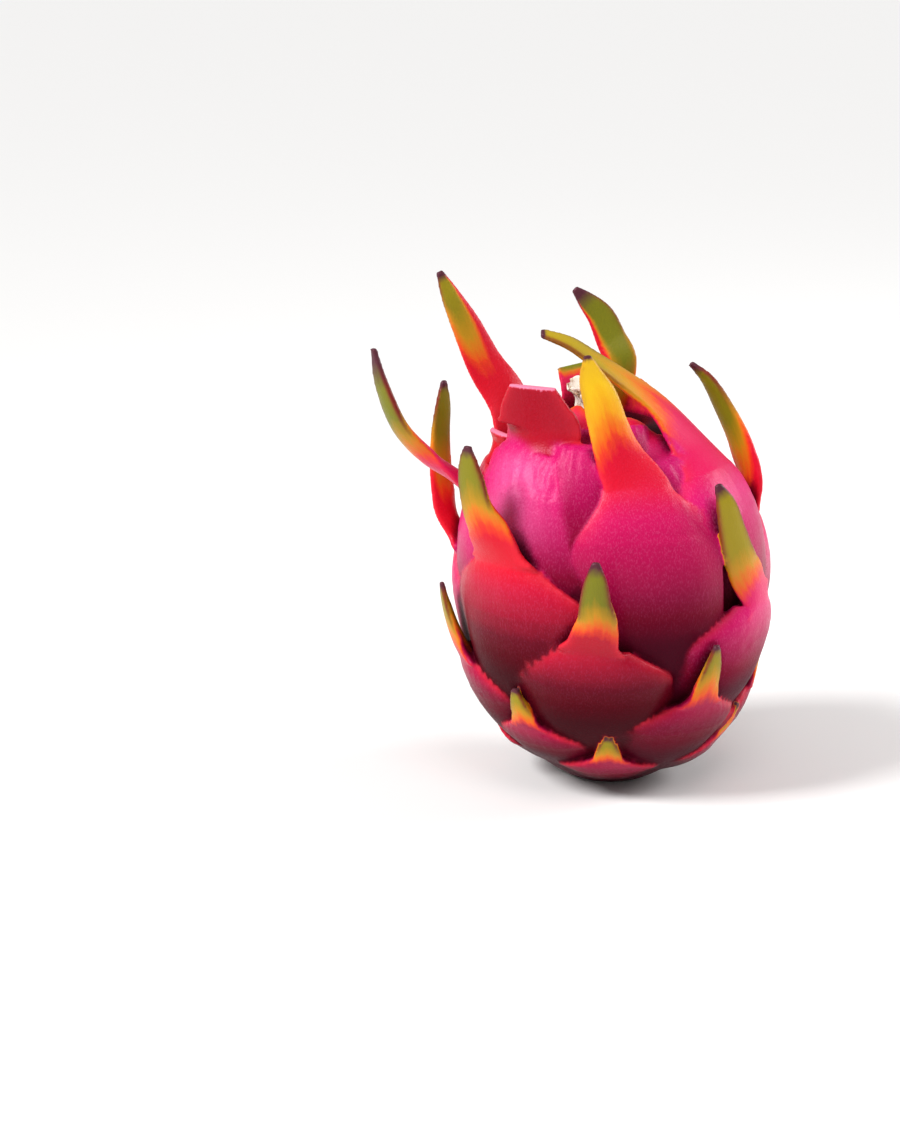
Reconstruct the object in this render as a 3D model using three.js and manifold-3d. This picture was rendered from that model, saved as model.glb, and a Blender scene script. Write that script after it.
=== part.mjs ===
// A ripe red-skinned dragon fruit, whole and as picked, standing on the flat of its stem end.
// Millimetres, +Z up. The origin is the middle of the flat spot it rests on, and -Y is its front.
// The fruit is an egg-shaped body under leafy scales. Each scale is a swollen lobe of the rind whose
// upper edge lifts off the body and runs out into a long fleshy tip. The body and every scale grew as
// one, so they are joined in one solid. The withered flower in the crown is a piece of its own.

import * as THREE from 'three';
import { mergeVertices } from 'three/addons/utils/BufferGeometryUtils.js';
import Module from 'manifold-3d';

const wasm = await Module();
wasm.setup();

// Driving dimensions of the body, in millimetres
const bodyRadius = 40.5;
const middleHeight = 54;
const riseAboveMiddle = 53;
const dropBelowMiddle = 56;
const craterDepth = 12;
const craterRadius = 11;
const crownOffset = -6;
const bodySides = 36;
const bodyRings = 20;

// How every scale is shaped, in millimetres
const lipLift = 3.2;
const sunkMargin = -1.6;
const lobeDepth = 7;
const marginThickness = 0.9;
const rootThickness = 4.2;
const tipThickness = 1.7;
const bendLength = 5;
const shoulderStart = -0.27;
const shoulderEnd = 0.1;
const rootFlare = 1.25;
const pointHalfWidth = 0.7;
const lobeRoundness = 2.4;
const longTip = 30;
const outerStations = [-1, -0.82, -0.45, 0, 0.45, 0.82, 1];
const innerStations = [0.93, 0, -0.93];

// The withered flower
const flowerRadius = 5.2;
const flowerBase = 96;
const flowerTop = 113;
const flowerLean = -3;
const flowerFolds = 7;
const hollowDepth = 6;

// The scales whose tips have a course of their own. lon is a scale's place round the fruit, 0 at the front and
// 90 at the right, and lat the height of its rim as a latitude, both in degrees. lobe and spread are the
// length and half-width of its lobe, rise is how far it swells, and drift turns the foot of the lobe aside.
// roll turns the faces of the tip about its own line, and flat leaves them less hollow than the others.
// Each row of its tip is x, y, z and half-width, from the root up. A trimmed scale ends wide.
const courseScales = [
  {
    name: 'crown_left_trimmed', lon: -46, lat: 50, lobe: 42, spread: 23, rise: 5.5, drift: 4, roll: 30, flat: 3,
    tip: [[-21, -21, 104, 11.6], [-22.5, -22, 110, 10.8], [-24, -24, 116.5, 7.4]],
  },
  {
    name: 'crown_right_arching', lon: 62, lat: 42, lobe: 42, spread: 23, rise: 7, drift: 2, roll: 0, flat: 1,
    tip: [[22.5, -12.5, 100, 11.5], [12.5, -10, 110, 6.4], [3, -10.5, 117, 4.8], [-5, -12, 122.5, 3.8],
      [-12.5, -13, 127.5, 2.8], [-20.5, -14, 130.5, 1.4]],
  },
  {
    name: 'crown_back', lon: 172, lat: 60, lobe: 34, spread: 17, rise: 4, drift: 0, roll: 0, flat: 1,
    tip: [[2.5, 20, 115.5, 4.8], [0, 22, 121.5, 4.3], [-3, 23, 128, 3.7], [-7, 23, 132.5, 2.4],
      [-10.5, 22.5, 136, 0.7]],
  },
  {
    name: 'crown_back_trimmed', lon: -158, lat: 60, lobe: 30, spread: 13, rise: 3, drift: 0, roll: 0, flat: 1.6,
    tip: [[-9, 12, 108, 6.4], [-11, 14, 115.5, 5]],
  },
  {
    name: 'front_tall', lon: 13, lat: 40, lobe: 50, spread: 24, rise: 6, drift: 3, roll: 0, flat: 1,
    tip: [[1.5, -33, 98.5, 7], [-2.5, -31.5, 107, 5.6], [-5, -30.5, 115, 4.9], [-7.5, -30, 120.5, 3.5],
      [-9, -30, 126.5, 0.7]],
  },
  {
    name: 'left_trimmed', lon: -88, lat: 42, lobe: 30, spread: 15, rise: 4, drift: 0, roll: 20, flat: 1.5,
    tip: [[-33, -2, 96, 5.6], [-34.5, -3, 99.5, 2.8]],
  },
  {
    name: 'left_tall', lon: -130, lat: 41, lobe: 38, spread: 19, rise: 5, drift: 0, roll: -34, flat: 1.5,
    tip: [[-30, 24, 103, 6.6], [-36.5, 26, 114, 5.2], [-41.5, 27, 124.5, 4.1], [-46, 27, 133.5, 2.5],
      [-49, 27, 140, 0.7]],
  },
  {
    name: 'left_curling', lon: -82, lat: 30, lobe: 36, spread: 17, rise: 5, drift: 0, roll: 0, flat: 1,
    tip: [[-45, -9, 87, 4.8], [-53, -11, 93.5, 4.4], [-60.5, -12, 102.5, 3.6], [-65.5, -12, 114.5, 2.4],
      [-67.5, -12, 125, 0.6]],
  },
  {
    name: 'left_upright', lon: -102, lat: 10, lobe: 38, spread: 20, rise: 5, drift: 0, roll: -30, flat: 1,
    tip: [[-48, 12, 73, 4.6], [-49.5, 14, 84, 4], [-49.5, 15, 95.5, 3.3], [-48.5, 15, 104.5, 2.4],
      [-48, 15, 111, 0.6]],
  },
  {
    name: 'front_left', lon: -47, lat: 15, lobe: 45, spread: 25.5, rise: 6, drift: 1, roll: 12, flat: 1,
    tip: [[-36.5, -33, 78, 7.3], [-39.5, -33, 85.5, 5], [-41, -33, 93.5, 4], [-41.5, -33, 99, 2.4],
      [-41.5, -33, 102.5, 0.7]],
  },
  {
    name: 'right_hooked', lon: 101, lat: 23, lobe: 40, spread: 20, rise: 5.5, drift: 0, roll: 20, flat: 1,
    tip: [[41, 8, 84.5, 6.4], [37.7, 10, 95, 5], [32.4, 12, 105, 3.8], [27.5, 12, 112.5, 2.4],
      [22.5, 12, 117, 0.6]],
  },
  {
    name: 'right_front', lon: 60, lat: 3, lobe: 38, spread: 22, rise: 6, drift: -4, roll: -34, flat: 1,
    tip: [[34.5, -30, 69, 5], [31.5, -32, 78, 3.9], [29, -33, 86.5, 2.7], [26.5, -33, 92, 0.7]],
  },
  {
    name: 'front_low', lon: -10, lat: -6, lobe: 36, spread: 21, rise: 6, drift: 0, roll: 0, flat: 1,
    tip: [[-7, -51, 57.5, 5.6], [-7.5, -52, 63.5, 4.2], [-7.5, -53, 70, 2.9], [-7.5, -53, 75.5, 0.7]],
  },
];

// The other scales, whose tips bend evenly. After the same first values come the length and half-width of the
// free tip, and how far it leans out from upright at its root and at its point, in degrees.
const evenScales = [
  ['crown_fold', 30, 60, 26, 12, 2.5, 9, 6.5, -30, -80],
  ['crown_front', -24, 64, 24, 11, 2, 8, 6.5, -10, -50],
  ['crown_inner', 142, 57, 28, 14, 3, 12, 8.5, 0, -36],
  ['back_right', 130, 11, 38, 20, 5, 23, 6, 2, -12],
  ['back_upper', 164, 28, 40, 20, 5, 22, 6.5, 4, -14],
  ['back_left', -168, 14, 38, 20, 5, 30, 6.5, 14, 4],
  ['back_waist_right', 154, -10, 34, 20, 5, 26, 6, 20, 2],
  ['back_waist_left', -134, -6, 36, 20, 5, 30, 6, 24, 6],
  ['low_right', 92, -28, 30, 19, 5, 20, 5.5, 22, 2],
  ['low_left', -78, -18, 30, 18, 5, 24, 5.5, 30, 6],
  ['low_back_left', -122, -14, 32, 18, 5, 25, 5.5, 28, 4],
  ['low_back', 174, -22, 30, 18, 4.5, 22, 5, 30, 8],
  ['low_front_right', 34, -24, 28, 18, 5, 20, 5, 30, 10],
  ['stem_front_left', -42, -34, 18, 14, 4, 14, 5, 36, 14],
  ['stem_front', -4, -46, 14, 13, 3.5, 11, 4.5, 42, 20],
  ['stem_right', 70, -44, 15, 14, 3.5, 12, 4.5, 42, 20],
  ['stem_back_right', 134, -42, 15, 14, 3.5, 13, 4.5, 42, 18],
  ['stem_back_left', -158, -46, 14, 13, 3.5, 11, 4.5, 42, 20],
  ['stem_left', -100, -44, 15, 14, 3.5, 12, 4.5, 42, 20],
];

const radians = THREE.MathUtils.degToRad;
const { lerp, smoothstep } = THREE.MathUtils;

function bodyRadiusAt(lat) {
  return bodyRadius * Math.cos(lat);
}

function bodyHeightAt(lat) {
  const reach = lat > 0 ? riseAboveMiddle : dropBelowMiddle;
  const crater = lat > 0 ? craterDepth * Math.exp(-((bodyRadiusAt(lat) / craterRadius) ** 4)) : 0;
  return middleHeight + reach * Math.sin(lat) - crater;
}

// The middle of the fruit leans to one side on its way up to the crown
function middleOffsetAt(z) {
  return crownOffset * Math.max(0, (z - middleHeight) / riseAboveMiddle) ** 2;
}

function bodyPoint(lon, lat) {
  const r = bodyRadiusAt(lat);
  const z = bodyHeightAt(lat);
  return new THREE.Vector3(middleOffsetAt(z) + r * Math.sin(lon), -r * Math.cos(lon), z);
}

// The way up the body and the way straight out of it, at a place on it, with the crater left out of account
function bodyFrame(lon, lat) {
  const reach = lat > 0 ? riseAboveMiddle : dropBelowMiddle;
  const out = new THREE.Vector3(Math.sin(lon), -Math.cos(lon), 0);
  const up = out.clone().multiplyScalar(-bodyRadius * Math.sin(lat));
  up.z = reach * Math.cos(lat);
  up.normalize();
  const side = new THREE.Vector3(Math.cos(lon), Math.sin(lon), 0);
  return { out, up, side, normal: side.clone().cross(up) };
}

// The latitude a given distance down the body from another
function latitudeBelow(lat, distance) {
  const steps = 24;
  let at = lat;
  for (let i = 0; i < steps; i++) {
    const reach = at > 0 ? riseAboveMiddle : dropBelowMiddle;
    const perRadian = Math.hypot(bodyRadius * Math.sin(at), reach * Math.cos(at));
    at -= distance / steps / perRadian;
  }
  return at;
}

// Rows of an evenly bent tip, from its root up
function bentRows(scale, root, frame) {
  const steps = 5;
  const at = root.clone();
  const rows = [];
  for (let i = 1; i <= steps; i++) {
    const pitch = radians(lerp(scale.pitch[0], scale.pitch[1], i / steps));
    at.addScaledVector(frame.out, (Math.sin(pitch) * scale.length) / steps);
    at.z += (Math.cos(pitch) * scale.length) / steps;
    rows.push([at.x, at.y, at.z, Math.max(pointHalfWidth, scale.width * (1 - i / steps) ** 0.6)]);
  }
  return rows;
}

// A smooth curve through rows of numbers that lie at marked distances, read at a distance
function readCurve(rows, marks, distance) {
  let i = 0;
  while (i < marks.length - 2 && distance > marks[i + 1]) i += 1;
  const span = marks[i + 1] - marks[i];
  const t = (distance - marks[i]) / span;
  const slope = (k, column) => {
    const before = Math.max(0, k - 1);
    const after = Math.min(rows.length - 1, k + 1);
    return (rows[after][column] - rows[before][column]) / (marks[after] - marks[before]);
  };
  return rows[i].map((value, column) => {
    const next = rows[i + 1][column];
    const rounded = t * t * (3 - 2 * t);
    const leave = t * (1 - t) ** 2 * span * slope(i, column);
    const arrive = t * t * (t - 1) * span * slope(i + 1, column);
    return lerp(value, next, rounded) + leave + arrive;
  });
}

// The middle line of a scale's outer face: over the swollen lobe, then out along the free tip
function spineOf(scale) {
  const lon = radians(scale.lon);
  const rimLat = radians(scale.lat);
  const frame = bodyFrame(lon, rimLat);
  const stations = [];
  const lobeSteps = scale.lobe > 25 ? 7 : 4;
  for (let i = 0; i <= lobeSteps; i++) {
    const share = Math.sin((i / lobeSteps) * (Math.PI / 2)) ** 0.8;
    const along = -scale.lobe * (1 - share);
    const aside = radians(scale.drift) * (1 - share);
    stations.push({ along, lon: lon + aside, lat: latitudeBelow(rimLat, -along) });
  }
  const root = bodyPoint(lon, rimLat).addScaledVector(frame.normal, scale.rise);
  const tip = scale.tip ?? bentRows(scale, root, frame);
  const below = root.clone().addScaledVector(frame.up, -bendLength);
  const rootWidth = tip[0][3] * rootFlare;
  const rows = [[...below.toArray(), rootWidth], [...root.toArray(), rootWidth], ...tip];
  const marks = [-bendLength];
  for (let i = 1; i < rows.length; i++) {
    const [a, b] = [rows[i - 1], rows[i]];
    marks.push(marks[i - 1] + Math.hypot(b[0] - a[0], b[1] - a[1], b[2] - a[2]));
  }
  const length = marks.at(-1);
  const tipSteps = length > longTip ? 9 : 5;
  const side = frame.side.clone();
  for (let i = 1; i <= tipSteps; i++) {
    const along = (length * i) / tipSteps;
    const [x, y, z, width] = readCurve(rows, marks, along);
    const [nextX, nextY, nextZ] = readCurve(rows, marks, along + 0.05);
    const ahead = new THREE.Vector3(nextX - x, nextY - y, nextZ - z).normalize();
    side.addScaledVector(ahead, -side.dot(ahead)).normalize();
    const turned = side.clone().applyAxisAngle(ahead, radians(scale.roll) * smoothstep(i / tipSteps, 0, 0.4));
    const normal = turned.clone().cross(ahead);
    stations.push({ along, t: i / tipSteps, width, centre: new THREE.Vector3(x, y, z), side: turned, normal });
  }
  return stations;
}

// Half the width of a scale at one station. The lobe is round below and draws in at its shoulders to the tip
function halfWidth(scale, station, rootWidth) {
  const fromMiddle = Math.min(0, station.along / scale.lobe + 0.5) * 2;
  const lobe = scale.spread * (1 - Math.abs(fromMiddle) ** lobeRoundness) ** (1 / lobeRoundness);
  const shoulder = smoothstep(station.along / scale.lobe, shoulderStart, shoulderEnd);
  return lerp(Math.max(1, lobe), station.width ?? rootWidth, shoulder);
}

// Points of one cross-section of a scale: its outer face from left to right, then its inner face back
function sectionOf(scale, station, rootWidth) {
  const width = halfWidth(scale, station, rootWidth);
  const inLobe = !station.centre;
  const a = inLobe ? 1 + station.along / scale.lobe : 1;
  const swell = scale.rise * (1 - (1 - a) ** 2);
  const margin = lerp(sunkMargin, Math.min(lipLift, scale.rise), smoothstep(a, 0.35, 0.95));
  const t = inLobe ? 0 : station.t;
  const middleThick = lerp(rootThickness, tipThickness, t) * Math.min(1, width / 4 + 0.35);
  const bodyCurve = bodyRadiusAt(radians(scale.lat)) * 0.9;
  const curl = 1 / lerp(bodyCurve, rootWidth * 1.3 * scale.flat, Math.min(1, t * 3));
  const buried = inLobe ? 1 - smoothstep(a, 0.86, 1) : 0;

  const faceAt = (u, depth) => {
    if (inLobe) {
      const lon = station.lon + (u * width) / Math.max(craterRadius, bodyRadiusAt(station.lat));
      const frame = bodyFrame(lon, station.lat);
      const height = margin + (swell - margin) * (1 - Math.abs(u) ** lobeRoundness);
      return bodyPoint(lon, station.lat).addScaledVector(frame.normal, height - depth);
    }
    const angle = u * width * curl;
    const across = Math.sin(angle) / curl;
    const drop = (1 - Math.cos(angle)) / curl;
    return station.centre.clone()
      .addScaledVector(station.side, across)
      .addScaledVector(station.normal, -drop - depth);
  };

  const thickAt = (u) => lerp(marginThickness + (middleThick - marginThickness) * (1 - u * u), lobeDepth, buried);
  const outer = outerStations.map((u) => faceAt(u, 0));
  const inner = innerStations.map((u) => faceAt(u, thickAt(u)));
  return [...outer, ...inner];
}

// A closed geometry over a row of rings with equal numbers of points, its ends filled flat
function loftRings(rings) {
  const count = rings[0].length;
  const positions = rings.flat().flatMap((p) => [p.x, p.y, p.z]);
  const faces = [];
  for (let i = 0; i + 1 < rings.length; i++) {
    for (let j = 0; j < count; j++) {
      const a = i * count + j;
      const b = i * count + ((j + 1) % count);
      faces.push(a, b, b + count, a, b + count, a + count);
    }
  }
  const capFaces = (ring) => {
    const middle = ring.reduce((sum, p) => sum.add(p), new THREE.Vector3()).divideScalar(count);
    const away = new THREE.Vector3();
    ring.forEach((p, j) => away.add(p.clone().sub(middle).cross(ring[(j + 1) % count].clone().sub(middle))));
    away.normalize();
    const right = ring[0].clone().sub(middle).projectOnPlane(away).normalize();
    const across = away.clone().cross(right);
    const flat = ring.map((p) => new THREE.Vector2(p.dot(right), p.dot(across)));
    return THREE.ShapeUtils.triangulateShape(flat, []);
  };
  for (const [a, b, c] of capFaces(rings[0])) faces.push(a, c, b);
  const start = (rings.length - 1) * count;
  for (const [a, b, c] of capFaces(rings.at(-1))) faces.push(start + a, start + b, start + c);
  const geometry = new THREE.BufferGeometry();
  geometry.setAttribute('position', new THREE.Float32BufferAttribute(positions, 3));
  geometry.setIndex(faces);
  return geometry;
}

// A three.js geometry as a solid that can be joined and cut, and back again
function solidFrom(geometry) {
  const bare = geometry.clone();
  bare.deleteAttribute('normal');
  bare.deleteAttribute('uv');
  const merged = mergeVertices(bare, 1e-4);
  const mesh = new wasm.Mesh({
    numProp: 3,
    vertProperties: merged.attributes.position.array,
    triVerts: new Uint32Array(merged.index.array),
  });
  const solid = new wasm.Manifold(mesh);
  if (solid.volume() < 0) throw new Error('a geometry is inside out');
  return solid;
}

function geometryFrom(solid) {
  const mesh = solid.getMesh();
  const geometry = new THREE.BufferGeometry();
  geometry.setAttribute('position', new THREE.BufferAttribute(new Float32Array(mesh.vertProperties), 3));
  geometry.setIndex(new THREE.BufferAttribute(new Uint32Array(mesh.triVerts), 1));
  geometry.computeVertexNormals();
  return geometry;
}

// The egg-shaped body with the crater in its crown
function bodySolid() {
  const profile = [];
  for (let i = 0; i <= bodyRings; i++) {
    const lat = radians(lerp(-90, 90, i / bodyRings));
    profile.push(new THREE.Vector2(Math.max(0, bodyRadiusAt(lat)), bodyHeightAt(lat)));
  }
  profile[0].x = 0;
  profile[bodyRings].x = 0;
  const lathe = new THREE.LatheGeometry(profile, bodySides);
  lathe.rotateX(Math.PI / 2);
  const place = lathe.attributes.position;
  for (let i = 0; i < place.count; i++) place.setX(i, place.getX(i) + middleOffsetAt(place.getZ(i)));
  return solidFrom(lathe);
}

function scaleSolid(scale) {
  const stations = spineOf(scale);
  const rootWidth = stations.find((station) => station.centre).width;
  return solidFrom(loftRings(stations.map((station) => sectionOf(scale, station, rootWidth))));
}

function fruitGeometry() {
  const even = evenScales.map(([name, lon, lat, lobe, spread, rise, length, width, rootPitch, pointPitch]) => ({
    name, lon, lat, lobe, spread, rise, length, width, drift: 0, roll: 0, flat: 1,
    pitch: [rootPitch, pointPitch],
  }));
  let fruit = bodySolid();
  for (const scale of [...courseScales, ...even]) fruit = fruit.add(scaleSolid(scale));
  const ground = new THREE.BoxGeometry(200, 200, 40).translate(0, 0, -20);
  return geometryFrom(fruit.subtract(solidFrom(ground)));
}

// The crumpled, papery remains of the flower: an open folded cup with a ragged edge
function flowerGeometry() {
  const count = flowerFolds * 4;
  const ringAt = (share, radius, depth) => {
    const ring = [];
    for (let j = 0; j < count; j++) {
      const angle = (j / count) * Math.PI * 2;
      const fold = 1 + 0.13 * share * Math.cos(angle * flowerFolds) + 0.1 * share * Math.sin(angle * 3 + 1);
      const ragged = 1.6 * Math.sin(angle * 5 + 0.6) + 1.1 * Math.cos(angle * 2);
      const z = lerp(flowerBase, flowerTop - depth, share) + (share > 0.9 ? ragged : 0);
      const lean = crownOffset * 0.75 + flowerLean * ((z - flowerBase) / (flowerTop - flowerBase));
      ring.push(new THREE.Vector3(lean + Math.sin(angle) * radius * fold, -Math.cos(angle) * radius * fold, z));
    }
    return ring;
  };
  const walls = [[0, 0.9], [0.25, 1.04], [0.55, 1], [0.8, 1.06], [1, 1.18]];
  const rings = walls.map(([share, r]) => ringAt(share, flowerRadius * r, 0));
  rings.push(ringAt(1, flowerRadius * 0.92, 0.4));
  rings.push(ringAt(0.8, flowerRadius * 0.62, hollowDepth));
  return loftRings(rings);
}

const rindColour = new THREE.MeshStandardMaterial({ color: 0xe0185c, roughness: 0.42, metalness: 0 });
const flowerColour = new THREE.MeshStandardMaterial({ color: 0xe9d9c4, roughness: 0.85, metalness: 0 });

function piece(name, geometry, colour) {
  const mesh = new THREE.Mesh(geometry, colour);
  mesh.name = name;
  return mesh;
}

const dragonFruit = new THREE.Group();
dragonFruit.add(piece('fruit_with_scales', fruitGeometry(), rindColour));
dragonFruit.add(piece('withered_flower', flowerGeometry(), flowerColour));

export default dragonFruit;
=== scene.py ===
import math

import bmesh
import bpy
import numpy as np
import openvdb
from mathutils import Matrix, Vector, noise
from mathutils.kdtree import KDTree


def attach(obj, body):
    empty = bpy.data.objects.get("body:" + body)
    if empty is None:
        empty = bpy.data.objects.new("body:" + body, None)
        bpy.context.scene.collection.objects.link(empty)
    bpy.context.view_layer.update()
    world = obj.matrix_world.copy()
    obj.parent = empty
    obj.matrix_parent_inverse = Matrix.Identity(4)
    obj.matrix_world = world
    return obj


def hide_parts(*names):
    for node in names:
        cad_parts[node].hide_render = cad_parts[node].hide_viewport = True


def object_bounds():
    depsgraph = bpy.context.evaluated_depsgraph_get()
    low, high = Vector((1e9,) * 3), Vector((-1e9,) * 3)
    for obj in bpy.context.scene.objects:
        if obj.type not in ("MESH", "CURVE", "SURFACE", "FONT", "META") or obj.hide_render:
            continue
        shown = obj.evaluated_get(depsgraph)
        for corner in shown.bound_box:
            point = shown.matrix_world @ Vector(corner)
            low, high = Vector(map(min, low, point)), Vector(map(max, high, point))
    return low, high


# A whole ripe dragon fruit. The rind is worked out in millimetres and turned to metres at its end.
# lon goes round the fruit, 0 at the front and 90 at its right. lat is a latitude on the egg-shaped body.

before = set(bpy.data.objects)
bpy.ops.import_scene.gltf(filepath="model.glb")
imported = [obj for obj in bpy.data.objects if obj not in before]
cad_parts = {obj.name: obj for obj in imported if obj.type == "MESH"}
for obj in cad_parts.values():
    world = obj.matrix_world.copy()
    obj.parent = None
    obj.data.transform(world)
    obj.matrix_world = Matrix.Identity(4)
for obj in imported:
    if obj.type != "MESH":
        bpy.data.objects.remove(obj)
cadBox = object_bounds()
mm = 0.001


def linearColour(hexCode):
    parts = [int(hexCode[i:i + 2], 16) / 255 for i in (1, 3, 5)]
    return tuple(c / 12.92 if c <= 0.04045 else ((c + 0.055) / 1.055) ** 2.4 for c in parts) + (1,)


def smooth(value, start, end):
    t = np.clip((value - start) / (end - start), 0, 1)
    return t * t * (3 - 2 * t)


def lerp(a, b, t):
    return a + (b - a) * t


def unit(v):
    return v / np.maximum(np.linalg.norm(v, axis=-1, keepdims=True), 1e-9)


def placed(name, data):
    obj = bpy.data.objects.new(name, data)
    bpy.context.scene.collection.objects.link(obj)
    return obj


# The rind: body, scales and how they grow into each other. Millimetres and degrees. Pairs are where something
# starts and is complete: in share of the lobe from its foot to its rim for the shells, in millimetres for heights
# and radii, and else in reach, which is -1 at a lobe's foot, 0 at its rim and 1 at the point of its tip
rind = {
    # the egg-shaped body, with a crater in its crown and the scar of the stem in its foot
    "radius": 40.5, "middle": 54, "rise": 53, "drop": 56, "craterDepth": 12, "craterRadius": 11, "crownOffset": -6,
    "bodySteps": 24, "scarRadius": 6.4, "scarDepth": 0.8,
    # a scale: its swollen lobe, and the tip that bends away from it
    "lipRise": (0.35, 0.95), "sunkMargin": -1.6, "lobeDepth": 7, "roundness": 2.4, "puff": 3.2,
    "bendLength": 5, "pointHalfWidth": 0.6, "pointTaper": 0.6,
    "evenSteps": 5, "tipParts": 9, "lookAhead": 0.05, "rollEnd": 0.4, "rootCurve": 0.9, "tipCurve": 1.3,
    "curlSpeed": 3, "rootThickness": 3.8, "tipThickness": 1.3, "marginThickness": 0.8, "thinUnder": 4,
    "leastShare": 0.35, "buriedFrom": 0.86,
    "lobeStations": 84, "tipStations": 54, "faceColumns": 33, "stationCrowding": 0.8,
    # the shells of a scale and how they are joined
    "padEnd": (0.72, 0.95), "padSink": -2.6, "bladeStart": (0.55, 0.8), "bladeSunk": 1.7, "leastThickness": 0.4,
    "edgeRound": 0.3, "bodyFillet": 0.01, "lobeFillet": 2.2, "bladeFillet": 0.9,
    "voxel": 0.5, "band": 4, "bandShare": 0.9, "roomBelow": 6,
    "smoothing": 8, "smoothPulls": (0.5, -0.52), "triangles": 190000,
    # how a vertex finds its place on a scale, and how open the rind is round it, for the painted shade in creases
    "neighbours": 6, "turnCost": 1.5, "innerFrom": 0.9, "openAt": (1.5, 2.6, 3.7),
    # ripening: the inner face keeps a red edge, the outer one greens first at its edge
    "innerRipe": 0.15, "innerRedEdge": 0.5, "innerPower": 4, "outerGreenEdge": 0.26,
    "outerPower": 1.5, "outerMiddle": 0.1, "redSidePull": 1.5, "redSideStart": (0.02, 0.35),
    # other marks: edges, a rim line that is partly painted highlight, painted shade at the foot of the fruit, flecks,
    # bloom with a painted highlight in it, cut ends, crater and scar
    "edgePower": 8, "goldClears": 0.6, "rimStart": (-0.32, -0.12), "lowShadeDepth": 0.42, "lowShadeHeights": (24, 74),
    "bladeFleckLoss": 0.75, "warmFleckLoss": 0.65, "bloomAndHighlightMiddle": -0.1, "bloomAndHighlightWidth": 0.5,
    "bloomAndHighlightStart": (-0.7, -0.4), "bloomAndHighlightEnd": (-0.1, 0.02), "cutFrom": 0.985, "craterMark": (12, 7),
    "craterAbove": 90, "scarMark": (7.4, 6.2), "scarBelow": 4,
    # low relief
    "unevenness": 0.28, "unevenSize": 13, "unevenShift": (7, 3, 1), "wrinkleDepth": 0.42, "wrinkleWidth": 2.9,
    "wrinkleStart": (-0.5, -0.22), "wrinkleEnd": (-0.03, 0.03), "wanderSize": 9, "wander": 4,
    "stillBelow": (0.5, 3),
}

# What a scale has unless its row says otherwise
usualScale = {"drift": 0, "roll": 0, "flat": 1, "flare": 1.25, "shoulder": (-0.27, 0.1), "lip": 3.2, "edge": 1,
              "redSide": 0, "bend": (-0.12, 0.1), "top": 1, "bloom": 0, "wrinkled": 0.15}


def scaleAt(name, lon, lat, lobe, spread, rise, **rest):
    return {**usualScale, "name": name, "lon": lon, "lat": lat, "lobe": lobe, "spread": spread, "rise": rise, **rest}
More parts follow.
